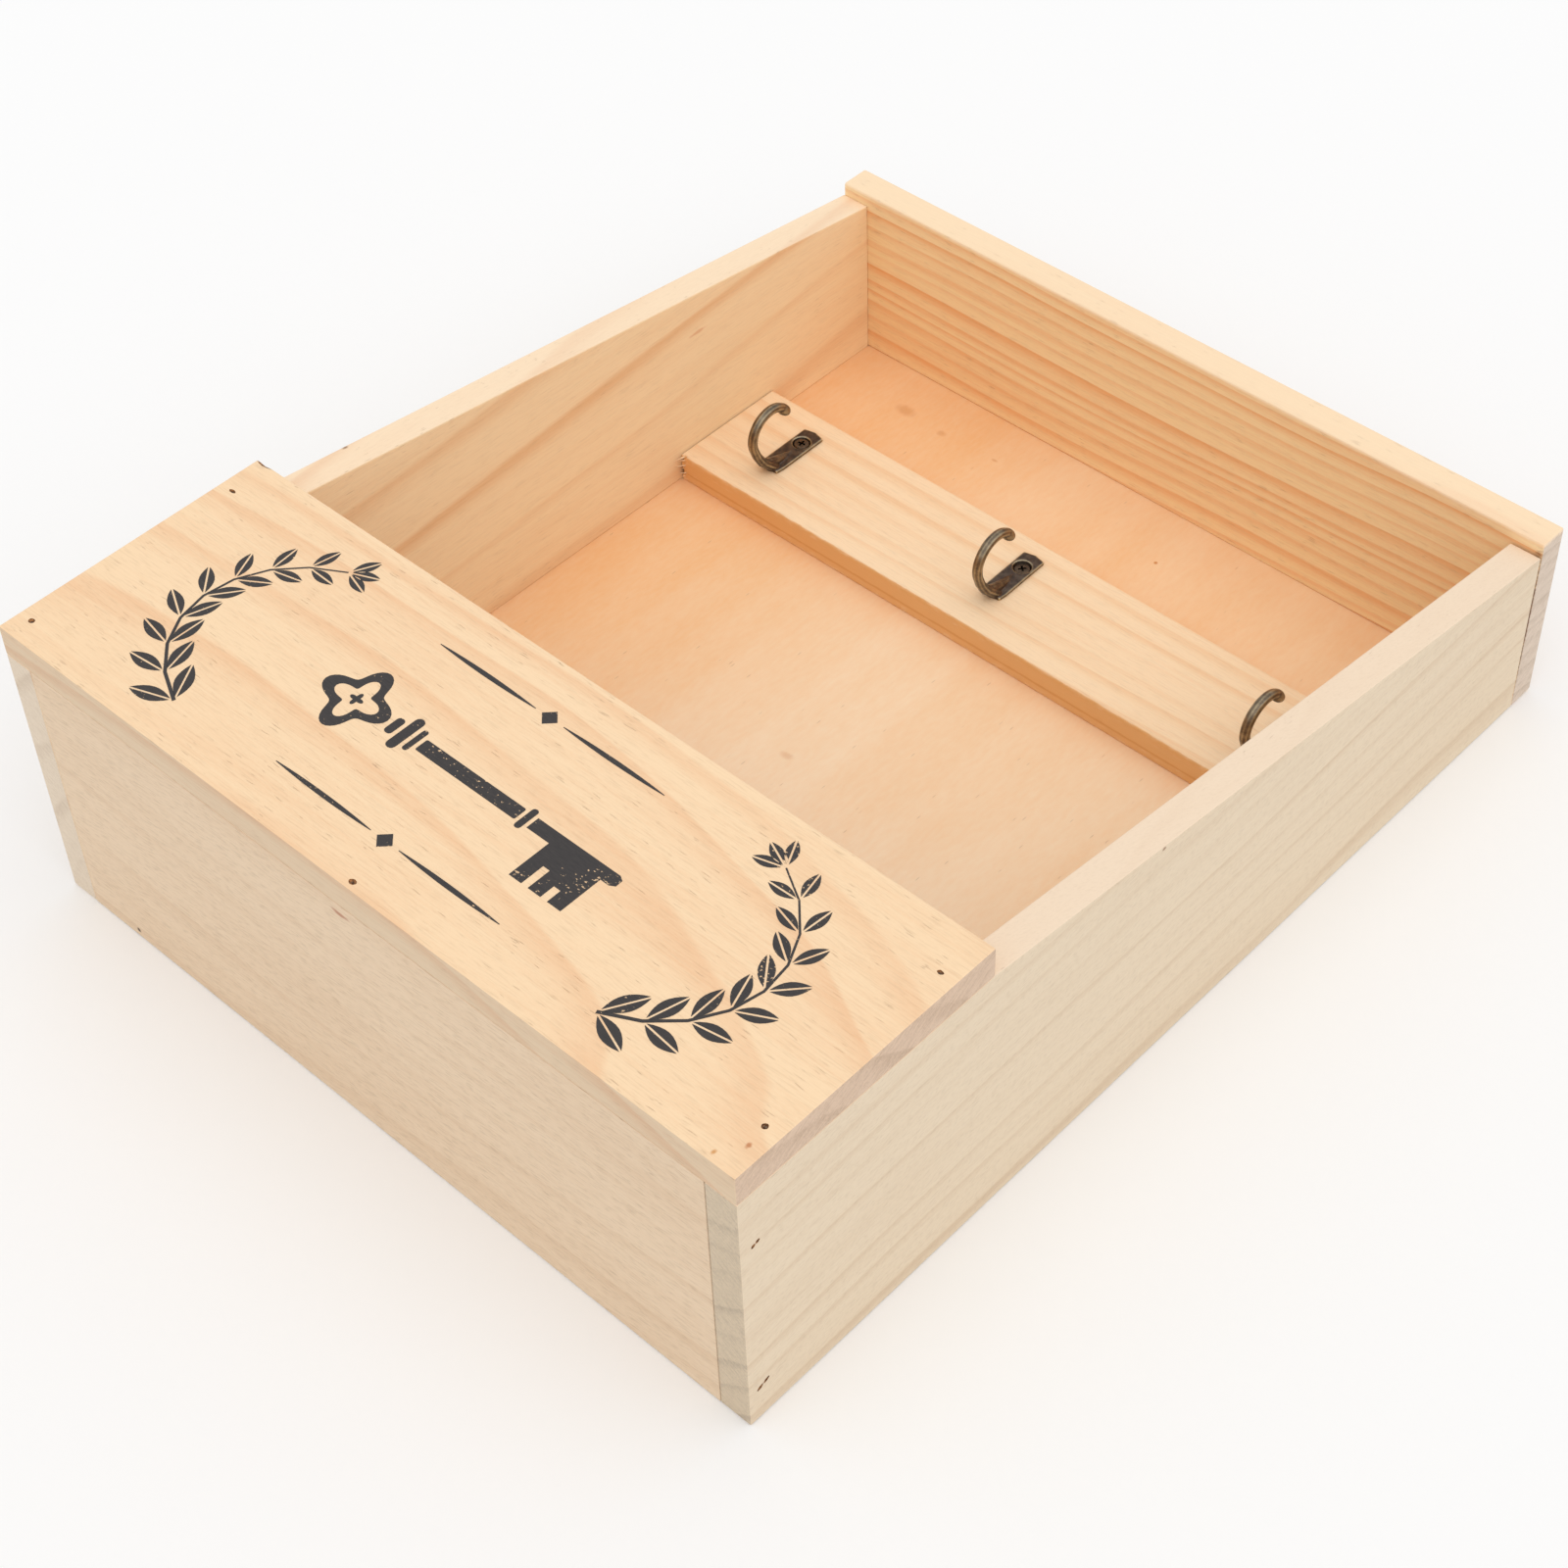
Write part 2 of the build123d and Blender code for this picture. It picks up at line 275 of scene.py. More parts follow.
def torn_wood():
    """Crushed and darkened fibres round a nail that was set below the surface."""
    f = Finish("torn_wood")
    at = f.vector("SCALE", f.surface.outputs["Object"], None, None, 1 / MM)
    shreds = f.noise(at, (2.0, 2.0, 2.0), 4.0)
    colour = f.mix(f.step(shreds, 0.35, 0.65), tint(92, 58, 32), tint(184, 126, 74))
    return f.close(colour, 0.8, shreds, 0.2 * MM)


def nail_places(node, across):
    """The middles of the heads of a node's two nails, which lie apart along the axis across."""
    low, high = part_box(node)
    middle = (low + high) / 2
    places = []
    for end, sign in ((low, 1), (high, -1)):
        place = middle.copy()
        place[across] = end[across] + sign * nail_head / 2
        places.append(place)
    return places


def carve_pit(board, place, size, seed, turn=(0, 0, 0)):
    """A ragged pit, as a nail punch leaves it."""
    bpy.ops.object.select_all(action="DESELECT")
    bpy.ops.mesh.primitive_ico_sphere_add(subdivisions=1, radius=1.0, location=place, rotation=turn)
    cutter = bpy.context.object
    cutter.scale = size
    bpy.ops.object.transform_apply(location=True, rotation=True, scale=True)
    cutter.data.materials.append(pit_finish)
    select_where(cutter, lambda co: True)
    bpy.ops.transform.vertex_random(offset=pit_ragged, seed=seed, uniform=0.3)
    bpy.ops.object.mode_set(mode="OBJECT")
    carve(board, cutter)


pit_finish = torn_wood()
quarter = math.radians(90)
left_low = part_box("left_side")[0]
left_pit = Vector((0.5, 1.0, 0.8)) * MM
resin_streak = ((-97, 63.3, 43.7), (0.6, 4.0, 0.7), tint(222, 150, 100), 0.5)
dark_speck = ((-104.6, -41, 69.4), (1.0, 1.5, 0.8), tint(126, 84, 56), 0.85)
# Its colours are partly the plank's own and partly set paler, as painted light that makes up for the shade
# on its inner face inside the box; its front edge also gets the painted top highlight.
left_side = make_side("left_side", pine(
    "pine_left_side", -quarter, heart=(-20, -62), slope=(0, 0.07), bow=(0, -0.2), ring_gap=12,
    pale=tint(255, 228, 188), band=tint(240, 194, 146), band_share=0.9, crisp=9.0, sway=4, pores=0.35,
    top_highlight=0.5, raw=tint(234, 238, 252), fuzz=0.1, end_pale=tint(230, 213, 191),
    end_dark=tint(198, 177, 154), marks=[resin_streak, dark_speck]))
for number, place in enumerate(nail_places("bottom_left_brads", along_z)):
    carve_pit(left_side, (left_low.x, place.y, place.z), left_pit, seed=10 + number)
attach(left_side, "root")
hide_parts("left_side")

# Right side: the same board from another plank, paler and greyer, its outer face still furry from the saw.
# Its upper end is a little out of square, so a dark gap opens towards the front edge of the top board.
# The brads that go through it into the bottom board split its grain a little on either side of each head.
right_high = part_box("right_side")[1]
out_of_square = 0.5 * MM
split_lengths = (1.1 * MM, 0.7 * MM)
split_depth = 0.9 * MM
split_width = 0.5 * MM
split_turn = (math.radians(30), 0, 0)
split_aside_shares = Vector((0, 0.8, 0.3))
arris_dent = ((105, -12.4, 64.6), (0.6, 0.8, 0.5), tint(150, 110, 80), 0.8)
# Its colours are partly the plank's own and partly set darker, as painted shade that makes up for the
# strong lamp on its outer face; its front edge gets the painted top highlight.
right_side = make_side("right_side", pine(
    "pine_right_side", -quarter, heart=(-187, -87), slope=(0, 0.03), bow=(0, 1), ring_gap=8,
    pale=tint(233, 214, 187), band=tint(210, 181, 149), band_share=0.4, crisp=4.0, sway=5, pores=0.3,
    pore_shade=0.22, top_highlight=0.6, fuzz=0.17, fuzz_turn=math.radians(15), end_pale=tint(214, 195, 168),
    end_dark=tint(160, 144, 126), marks=[arris_dent]))
select_where(right_side, lambda co: co.y > right_high.y - past and co.z > side_depth_high - past)
bpy.ops.transform.translate(value=(0, -out_of_square, 0))
bpy.ops.object.mode_set(mode="OBJECT")
for number, place in enumerate(nail_places("bottom_right_brads", along_z)):
    length = split_lengths[number]
    on_face = Vector((right_high.x, place.y, place.z))
    for way in (-1, 1):
        carve_pit(right_side, on_face + split_aside_shares * way * length,
                  Vector((split_depth, length, split_width)), seed=20 + 2 * number + way, turn=split_turn)
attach(right_side, "root")
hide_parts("right_side")

# Bottom board: pine, held between the sides by glue and brads, with its grain across the box.
# It is a hair shorter than the space between them, so a dark seam shows at each end.
seam = Vector((0.12, 0, 0)) * MM
bottom_arris = 0.2 * MM
bottom_low, bottom_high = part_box("bottom_board")
edge_stain = ((-0.5, -134, 69.2), (3.2, 1.0, 0.9), tint(176, 112, 84), 0.75)
black_speck = ((-81.2, -134, 2.1), (0.8, 1.0, 0.8), tint(70, 52, 40), 0.95)
# Its colours are partly the plank's own and partly set darker, as painted shade that makes up for the
# lamp's light from the front on its outer face.
bottom_finish = pine(
    "pine_bottom_board", 0.0, heart=(-60, -150), slope=(0, 0.04), bow=(0, 3), ring_gap=10,
    pale=tint(233, 208, 178), band=tint(212, 177, 142), band_share=0.3, sway=8, pores=0.4, fuzz=0.28,
    fuzz_turn=math.radians(6), marks=[edge_stain, black_speck])
bottom_board = add_block("bottom_board_plank", bottom_low + seam, bottom_high - seam, bottom_finish)
carve_rabbet(bottom_board)
ease_edges(bottom_board, bottom_arris)
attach(bottom_board, "root")
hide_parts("bottom_board")

# Top board: pine sawn across the rings, so its faces show straight close lines. It is nailed across the
# upper ends of the sides, stands a little proud of their front edges and has rounded arrises.
top_low, top_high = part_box("top_board")
top_arris = 0.5 * MM
top_pit = Vector((0.9, 0.5, 0.8)) * MM
# Painted highlight: the top board's upward front edge and its arrises are made paler, where the light
# catches them.
painted_edge_highlight = ((0, 130, 50.5), (400, 30, 1.3), tint(255, 227, 194), 0.7)
# Painted shade: a dark line on the top board inside the gap left by the right side's out-of-square upper
# end.
painted_gap_shade = ((104.5, 126, 26), (2.5, 0.4, 27), tint(104, 62, 40), 0.9)
# Its colours are partly the plank's own and partly set paler and more orange, as painted light that makes
# up for the shade on its inner face.
top_finish = pine(
    "pine_top_board", 0.0, heart=(100, -170), slope=(0, 0.012), bow=(0, 0.8), ring_gap=4.0,
    pale=tint(255, 226, 179), band=tint(240, 167, 104), band_share=0.75, crisp=1.2, sway=4, pores=0.5,
    raw=tint(233, 234, 246), fuzz=0.1, end_pale=tint(224, 205, 187), end_dark=tint(182, 161, 140),
    marks=[painted_edge_highlight, painted_gap_shade])
top_board = add_block("top_board_plank", top_low, top_high, top_finish)
carve_rabbet(top_board)
ease_edges(top_board, top_arris)
for node in ("top_left_brads", "top_right_brads"):
    for number, place in enumerate(nail_places(node, along_z)):
        carve_pit(top_board, (place.x, top_high.y, place.z), top_pit, seed=30 + number)
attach(top_board, "root")
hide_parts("top_board")

# Back panel: thin plywood let into the rabbet from behind and pinned. Its face is a peeled veneer with a
# wide cloudy figure, deeper in colour to the left and upwards, a few pin knots and short dark flecks. Its
# paleness at the low end is painted light, against the front board's shade there.
veneer = Finish("plywood_veneer")
veneer_at = veneer.node("Mapping", {}, veneer.surface.outputs["Object"], None, (0, 0, -quarter),
                        (1 / MM, 1 / MM, 1 / MM))
veneer_strands = veneer.noise(veneer_at, (0.006, 0.11, 0.11), 3.0)
veneer_fibre = veneer.noise(veneer_at, (0.3, 0.9, 0.9), 4.0)
veneer_cloud = veneer.noise(veneer_at, (0.016, 0.03, 0.03), 3.0)
upwards = veneer.node("SeparateXYZ", {}, veneer_at)
leftwards = veneer.node("SeparateXYZ", {}, veneer_at, out=1)
# Painted light: paler towards the low end, to make up for the front board's shade on the panel there.
veneer_tone = veneer.math("MULTIPLY_ADD", veneer.step(upwards, -40.0, 110.0), 0.36, 0.06)
veneer_tone = veneer.math("MULTIPLY_ADD", veneer.step(leftwards, 10.0, 90.0), 0.45, veneer_tone)
veneer_tone = veneer.math("MINIMUM", veneer_tone, 0.6)
for layer, share in ((veneer_strands, 0.35), (veneer_cloud, 0.5), (veneer_fibre, 0.4)):
    veneer_tone = veneer.math("ADD", veneer_tone, veneer.math("MULTIPLY_ADD", layer, share, -share / 2))
veneer_colour = veneer.mix(veneer_tone, tint(255, 227, 193), tint(245, 183, 117))
fleck_at = veneer.vector("MULTIPLY", veneer_at, (0.14, 0.9, 0.9))
fleck_cells = veneer.node("TexVoronoi", {}, fleck_at, None, 1.0)
fleck_kept = veneer.node("SeparateColor", {}, fleck_cells.node.outputs["Color"])
fleck = veneer.math("MULTIPLY", veneer.step(fleck_cells, 0.14, 0.06), veneer.step(fleck_kept, 0.75, 0.78))
veneer_colour = veneer.mix(veneer.math("MULTIPLY", fleck, 0.28), veneer_colour, tint(150, 100, 62))
pin_knots = [((-71.7, 112.3, 2), (3.8, 2.6, 9), 0.4), ((-58.7, 111.4, 2), (1.8, 1.4, 9), 0.35),
             ((-10.2, 0.3, 2), (2.4, 1.5, 9), 0.3), ((13.1, 108.7, 2), (0.7, 0.7, 9), 0.9),
             ((-41.6, 112.2, 2), (1.2, 0.6, 9), 0.4)]
veneer_millimetres = veneer.vector("SCALE", veneer.surface.outputs["Object"], None, None, 1 / MM)
for spot, size, share in pin_knots:
    away = veneer.vector("DIVIDE", veneer.vector("SUBTRACT", veneer_millimetres, spot), size)
    near = veneer.math("MULTIPLY_ADD", veneer_fibre, 0.9, veneer.vector("LENGTH", away, out=1))
    knot = veneer.math("MULTIPLY", veneer.step(near, 1.45, 0.7), share)
    veneer_colour = veneer.mix(knot, veneer_colour, tint(212, 136, 70))
veneer.shader.inputs["Specular IOR Level"].default_value = 0.3
veneer_finish = veneer.close(veneer_colour, veneer.math("MULTIPLY_ADD", veneer_fibre, 0.2, 0.5),
                             veneer.math("SUBTRACT", veneer_fibre, fleck), 0.04 * MM)


def dress(node, finish):
    """Gives a CAD node this finish in place of its plain one."""
    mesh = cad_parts[node].data
    mesh.materials.clear()
    mesh.materials.append(finish)


dress("back_panel", veneer_finish)

# Hook rail: a pine strip pinned to the panel from behind and bored for the screws of the hooks. Its left
# end broke out under the saw, so its lower corner is ragged there, and torn fibres still stand out from it.
rail_low, rail_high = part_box("hook_rail")
rail_spread = Vector((0.25, 0, 0)) * MM
rail_arris = 0.5 * MM
bore_mouth = 2.0 * MM
bore_floor = 1.1 * MM
bore_depth = 3.0 * MM
clear_of_face = Vector((0, 0, 0.1)) * MM
splinter_tip = 0.04 * MM
splinter_inset = (1.6, 0.5)
# Painted shade: the rail's lower face is made darker and more orange, as the shade inside the box falls on
# it.
painted_shade_on_lower_face = ((0, 54.6, 6), (400, 0.4, 9), tint(234, 178, 110), 0.8)
# A darker line low along that face.
low_dark_line = ((0, 54.6, 4.6), (400, 0.5, 0.5), tint(218, 156, 90), 0.6)
rail_finish = pine(
    "pine_hook_rail", 0.0, heart=(20, -20), slope=(0, 0.03), bow=(0.5, 0), ring_gap=5.0,
    pale=tint(255, 225, 187), band=tint(242, 188, 134), band_share=0.45, sway=3, pores=0.22,
    pore_shade=0.25, fuzz=0.12, marks=[painted_shade_on_lower_face, low_dark_line])


def drill_hole(piece, mouth, mouth_radius, floor_radius, depth, finish):
    """A round tapered hole that points along -Z from the middle of its mouth."""
    bpy.ops.object.select_all(action="DESELECT")
    bpy.ops.mesh.primitive_cone_add(vertices=48, radius1=floor_radius, radius2=mouth_radius, depth=depth,
                                    location=Vector(mouth) - Vector((0, 0, depth / 2)))
    drill = bpy.context.object
    bpy.ops.object.transform_apply(location=True, rotation=True, scale=True)
    drill.data.materials.append(finish)
    carve(piece, drill)


rail = add_block("hook_rail_strip", rail_low - rail_spread, rail_high, rail_finish)
ease_edges(rail, rail_arris)
for node in ("hook_screw_left", "hook_screw_middle", "hook_screw_right"):
    screw_low, screw_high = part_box(node)
    hole_mouth = (screw_low + screw_high) / 2
    hole_mouth.z = rail_high.z
    drill_hole(rail, hole_mouth + clear_of_face, bore_mouth, bore_floor, bore_depth, pit_finish)

# Each break at the rail's end: how far above its lower edge and in front of the wall, and its half sizes
breaks = [(0.4, 8.6, (1.3, 1.1, 0.8)), (0.2, 5.0, (1.0, 0.8, 1.6))]
for number, (upward, outward, half) in enumerate(breaks):
    place = (rail_low.x, rail_low.y + upward * MM, outward * MM)
    carve_pit(rail, place, Vector(half) * MM, seed=60 + number)

# Each fibre: how far in front of the wall, its length and half thickness, and its tilt and swing in degrees
splinters = [(9.8, 3.9, 0.34, 14, -28), (9.4, 2.0, 0.30, -18, -58), (9.0, 3.1, 0.26, -6, -36),
             (8.2, 1.8, 0.36, 22, -66), (7.6, 3.4, 0.28, -14, -22), (6.3, 1.6, 0.34, 16, -50),
             (5.2, 2.6, 0.26, -24, -14), (3.8, 1.7, 0.30, 10, -40)]
for outward, length, thickness, tilt, swing in splinters:
    lean = math.radians(swing)
    reach = Vector((math.sin(lean), -math.cos(lean), 0)) * length / 2
    bpy.ops.object.select_all(action="DESELECT")
    bpy.ops.mesh.primitive_cone_add(
        vertices=5, radius1=thickness * MM, radius2=splinter_tip, depth=length * MM,
        location=Vector((rail_low.x, rail_low.y, 0)) + (Vector((*splinter_inset, outward)) + reach) * MM,
        rotation=(quarter + math.radians(tilt), 0, lean))
    splinter = bpy.context.object
    bpy.ops.object.transform_apply(location=True, rotation=True, scale=True)
    splinter.data.materials.append(rail_finish)
    rail.select_set(True)
    bpy.context.view_layer.objects.active = rail
    bpy.ops.object.join()
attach(rail, "root")
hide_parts("hook_rail")

# Front board: flat-sawn pine across the low end, nailed over the sides and the bottom board. Long arches of
# the growth rings show on its face, and a stained chip is missing from its upper left corner.
front_low, front_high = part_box("front_board")
ink_film = Vector((0, 0, 0.05)) * MM
front_face = front_high.z - ink_film.z
along_y = 1
chip_inset = 2.4 * MM
chip_half = Vector((2.6, 0.9, 0.8)) * MM
small_knot = ((98.1, -132.1, 80), (0.65, 0.85, 2), tint(214, 150, 84), 0.85)
red_knot = ((101.7, -127, 80), (0.7, 1.1, 2), tint(196, 122, 74), 0.8)
chip_stain = ((-102.5, -64, 80), (3.2, 1.1, 2.5), tint(132, 112, 98), 0.8)
front_finish = pine(
    "pine_front_board", 0.0, heart=(-140, 14), slope=(0, -0.06), bow=(0, -9), ring_gap=9,
    pale=tint(253, 221, 181), band=tint(238, 181, 134), band_share=0.5, sway=8, pores=0.52,
    pore_shade=0.26, raw=tint(227, 232, 240), raw_side=-1.0, fuzz=0.15, end_pale=tint(222, 194, 169),
    end_dark=tint(176, 148, 122), marks=[small_knot, red_knot, chip_stain])
front_board = add_block("front_board_plank", front_low, front_high - ink_film, front_finish)
ease_edges(front_board, arris)
front_nails = nail_places("front_left_brads", along_y) + nail_places("front_right_brads", along_y)
middle_low, middle_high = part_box("front_middle_brad")
front_nails.append((middle_low + middle_high) / 2)
for number, place in enumerate(front_nails):
    pit_length = 0.95 + 0.2 * math.sin(2 * number)
    pit_width = 0.7 + 0.15 * math.cos(3 * number)
    pit_half = Vector((pit_length, pit_width, 0.5)) * MM
    carve_pit(front_board, (place.x, place.y, front_face), pit_half, seed=40 + number)
carve_pit(front_board, (front_low.x + chip_inset, front_high.y, front_face), chip_half, seed=50)
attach(front_board, "root")
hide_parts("front_board")

# Print on the front board: a worn stencil in charcoal ink, of an old key between two laurel sprigs and two
# rules, each broken by a lozenge. Each shape is a flat curve, filled to a film that is sunk a little into
# the wood. Places and lengths are in millimetres, from the middle of the face.
ink_sunk = 0.02 * MM
bow_middle = (-33, 0)
bow_lobes = 4
bow_rings = [(7.4, 1.9), (4.5, 1.6), (1.3, 0.5)]
shank_bars = [((-22.6, -2.4), (-20.6, 2.4), 0.8), ((-19.6, -4.9), (-17.2, 4.9), 1.1),
              ((-16.2, -3.3), (-14.8, 3.3), 0.6), ((-13.8, -1.7), (14.6, 1.7), 0.4),
              ((15.5, -3.0), (17.1, 3.0), 0.7)]
bit_outline = [(18.0, 1.6), (40.4, 1.6), (41.6, 0.9), (41.6, -0.9), (40.4, -1.6), (38.2, -1.6),
               (38.2, -12.2), (34.6, -12.2), (34.6, -8.6), (32.8, -8.6), (32.8, -12.2), (29.4, -12.2),
               (29.4, -6.4), (27.6, -6.4), (27.6, -12.2), (24.2, -12.2), (24.2, -1.6), (18.0, -1.6)]
sprig_middle = 47
sprig_half_width = 33
sprig_half_height = 27
sprig_start = -66
leaf_pairs = 9
leaf_pair_apart = 16
leaf_length = 9.4
leaf_shorter = 0.4
leaf_width_share = 0.38
leaf_fan = 0.7
vein = 0.22
stem_half = 0.42
stem_thinner = 0.03
rule_middle = 18
rule_height = 22
rule_half = (14, 0.5)
rule_blunt = 0.08
lozenge = 2.2


def leaf_halves(base, turn, length):
    """The two halves of a leaf, with a bare vein between them."""
    along = Vector((math.cos(turn), math.sin(turn)))
    aside = Vector((-along.y, along.x))
    half_width = leaf_width_share * length / 2
    halves = []
    for sign in (1, -1):
        half = []
        for t in (n / 8 for n in range(9)):
            bulge = vein + half_width * math.sin(math.pi * t) ** 0.9
            half.append(base + along * length * t + aside * sign * bulge)
        half += [base + along * length * t + aside * sign * vein for t in (0.8, 0.5, 0.2)]
        halves.append(half)
    return halves


def rosette(middle, radius, swell, count):
    """A ring outline with this many round lobes."""
    return [(middle[0] + (radius + swell * math.cos(count * a)) * math.cos(a),
             middle[1] + (radius + swell * math.cos(count * a)) * math.sin(a))
            for a in (math.tau * n / 64 for n in range(64))]


def bar(low, high, corner):
    """A rectangle with round corners."""
    points = []
    for middle_u, middle_v, start in ((high[0], high[1], 0), (low[0], high[1], 90), (low[0], low[1], 180),
                                      (high[0], low[1], 270)):
        for part in range(4):
            a = math.radians(start + 30 * part)
            corner_u = middle_u - math.copysign(corner, middle_u - (low[0] + high[0]) / 2)
            corner_v = middle_v - math.copysign(corner, middle_v - (low[1] + high[1]) / 2)
            points.append((corner_u + corner * math.cos(a), corner_v + corner * math.sin(a)))
    return points


def swelled_rule(middle_u, middle_v):
    """A long rule that is thickest in its middle and blunt at its ends."""
    points = []
    for sign in (1, -1):
        for t in (sign * n / 12 for n in range(-12, 13)):
            swell = rule_half[1] * (1 - t * t) + rule_blunt
            points.append((middle_u + rule_half[0] * t, middle_v + sign * swell))
    return points


shapes = [rosette(bow_middle, radius, swell, bow_lobes) for radius, swell in bow_rings]
shapes += [bar(low, high, corner) for low, high, corner in shank_bars]
shapes.append(bit_outline)
for side in (1, -1):
    stem = []
    for step in range(leaf_pairs):
        a = math.radians(sprig_start + leaf_pair_apart * step)
        knee = Vector((side * (sprig_middle + sprig_half_width * math.cos(a)),
                       sprig_half_height * math.sin(a)))
        forward = math.atan2(sprig_half_height * math.cos(a), -sprig_half_width * math.sin(a) * side)
        length = leaf_length - leaf_shorter * step
        for turn in (forward + leaf_fan, forward - leaf_fan):
            shapes += leaf_halves(knee + Vector((math.cos(turn), math.sin(turn))), turn, length)
        half = stem_half - stem_thinner * step
        stem.append((knee, Vector((-math.sin(forward), math.cos(forward))) * half))
    shapes.append([knee + aside for knee, aside in stem] + [knee - aside for knee, aside in reversed(stem)])
    shapes += leaf_halves(knee + Vector((math.cos(forward), math.sin(forward))), forward, length)
for height in (rule_height, -rule_height):
    shapes.append(swelled_rule(-rule_middle, height))
    shapes.append(swelled_rule(rule_middle, height))
    shapes.append([(-lozenge, height), (0, height - lozenge), (lozenge, height), (0, height + lozenge)])


def select_only(piece):
    """Selects this piece alone and makes it the active one."""
    bpy.ops.object.select_all(action="DESELECT")
    piece.select_set(True)
    bpy.context.view_layer.objects.active = piece


film_half = (ink_film.z + ink_sunk) / 2
outline = bpy.data.curves.new("front_print", "CURVE")
outline.dimensions = "2D"
outline.fill_mode = "BOTH"
outline.extrude = film_half
for shape in shapes:
    spline = outline.splines.new("POLY")
    spline.points.add(len(shape) - 1)
    for point, (u, v) in zip(spline.points, shape):
        point.co = (u * MM, v * MM, 0, 1)
    spline.use_cyclic_u = True
front_print = bpy.data.objects.new("front_print", outline)
bpy.context.collection.objects.link(front_print)
select_only(front_print)
bpy.ops.object.convert(target="MESH")
front_print = bpy.context.object
front_print.location = (front_low + front_high) / 2
front_print.location.z = front_high.z - film_half
bpy.ops.object.transform_apply(location=True, rotation=True, scale=True)
select_where(front_print, lambda co: True)
bpy.ops.mesh.remove_doubles(threshold=0.001 * MM)
bpy.ops.mesh.normals_make_consistent(inside=False)
bpy.ops.object.mode_set(mode="OBJECT")

ink = Finish("charcoal_ink")
ink_at = ink.vector("SCALE", ink.surface.outputs["Object"], None, None, 1 / MM)
ink_wear = ink.noise(ink_at, (1.1, 1.6, 1.6), 5.0)
ink_patch = ink.noise(ink_at, (0.06, 0.09, 0.09), 2.0)
bare = ink.step(ink.math("MULTIPLY_ADD", ink_patch, 0.5, ink_wear), 0.92, 0.98)
ink_colour = ink.mix(ink.noise(ink_at, (0.4, 2.4, 2.4), 3.0), tint(34, 32, 34), tint(66, 60, 58))
ink_colour = ink.mix(bare, ink_colour, tint(226, 190, 148))
front_print.data.materials.append(ink.close(ink_colour, 0.55, ink_wear, 0.02 * MM))
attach(front_print, "root")

# Brads and panel pins: plain steel wire with small heads, driven in and set below the wood, and browned by
# damp since. They keep the shape of their CAD solids and get a finish of their own.
rust = Finish("browned_steel")
rust_at = rust.vector("SCALE", rust.surface.outputs["Object"], None, None, 1 / MM)
rust_spots = rust.noise(rust_at, (1.8, 1.8, 1.8), 4.0)
rust_colour = rust.mix(rust.step(rust_spots, 0.4, 0.62), tint(132, 112, 94), tint(88, 58, 38))
rust.shader.inputs["Metallic"].default_value = 0.7
rust_roughness = rust.math("MULTIPLY_ADD", rust_spots, 0.4, 0.35)
rust_finish = rust.close(rust_colour, rust_roughness, rust_spots, 0.05 * MM)
for node in ("front_left_brads", "front_right_brads", "front_middle_brad", "bottom_left_brads",
             "bottom_right_brads", "top_left_brads", "top_right_brads", "panel_pins", "rail_pins"):
    dress(node, rust_finish)

# Hooks: small brass castings with a dark antique finish that is rubbed bright on the ridges. Each has a
# flat plate with a bevelled screw hole, a rib up its middle and a round arm, beaten flat at its tip. One is
# shaped round the middle of its plate's back, then copied to the three places.
brass = Finish("antique_brass")
brass_at = brass.vector("SCALE", brass.surface.outputs["Object"], None, None, 1 / MM)
brass_wear_and_highlight = brass.node("Attribute", {"attribute_name": "wear"}, out=2)
brass_cloud = brass.noise(brass_at, (0.55, 0.55, 0.55), 4.0)
brass_grain = brass.noise(brass_at, (4.5, 4.5, 4.5), 3.0)
rubbed_and_highlit = brass.math("MULTIPLY_ADD", brass_cloud, 0.2, brass_wear_and_highlight)
rubbed_and_highlit = brass.math("MULTIPLY_ADD", brass_grain, 0.15, rubbed_and_highlit)
rubbed_and_highlit = brass.step(rubbed_and_highlit, 0.19, 0.68)
brass_colour = brass.mix(brass.step(brass_cloud, 0.3, 0.7), tint(74, 63, 58), tint(100, 87, 77))
# Bright rubbed brass on the ridges, and up the arm a painted highlight as well.
brass_colour = brass.mix(rubbed_and_highlit, brass_colour, tint(210, 192, 156))
brass.shader.inputs["Metallic"].default_value = 0.9
brass_roughness = brass.math("MULTIPLY_ADD", brass_cloud, -0.2, 0.46)
brass_finish = brass.close(brass_colour, brass_roughness, brass_grain, 0.03 * MM)


def blacked(name, dark, light):
    """Metal under a black finish that is cloudy and a little pitted."""
    f = Finish(name)
    at = f.vector("SCALE", f.surface.outputs["Object"], None, None, 1 / MM)
    spots = f.noise(at, (1.6, 1.6, 1.6), 4.0)
    f.shader.inputs["Metallic"].default_value = 0.9
    colour = f.mix(f.step(spots, 0.42, 0.7), dark, light)
    return f.close(colour, f.math("MULTIPLY_ADD", spots, 0.3, 0.25), spots, 0.03 * MM)


# Painted shade: dark metal for the walls of the screw holes and the screws' cross recesses, where shade
# falls.
recess_shade_finish = blacked("painted_recess_shade", tint(46, 38, 32), tint(66, 56, 46))
screw_up = 3.9 * MM
plate_half = Vector((3.1, 8.5, 0.45)) * MM
plate_thickness = 2 * plate_half.z
end_point = 0.7 * MM
low_end = 2.5 * MM
low_end_share = 0.9
hair = 0.1 * MM
bevel_mouth = 2.75 * MM
bevel_floor = 2.0 * MM
bevel_depth = 0.5 * MM
hole_mouth_radius = 2.5 * MM
hole_floor_radius = 1.75 * MM
hole_depth = 1.2 * MM
bend_middle = Vector((0, -7.15, 11.6)) * MM
bend_radius = 6.6 * MM
root_turn = math.radians(205)
tip_turn = math.radians(40)
arm_half = Vector((1.4, 1.15, 1.0)) * MM
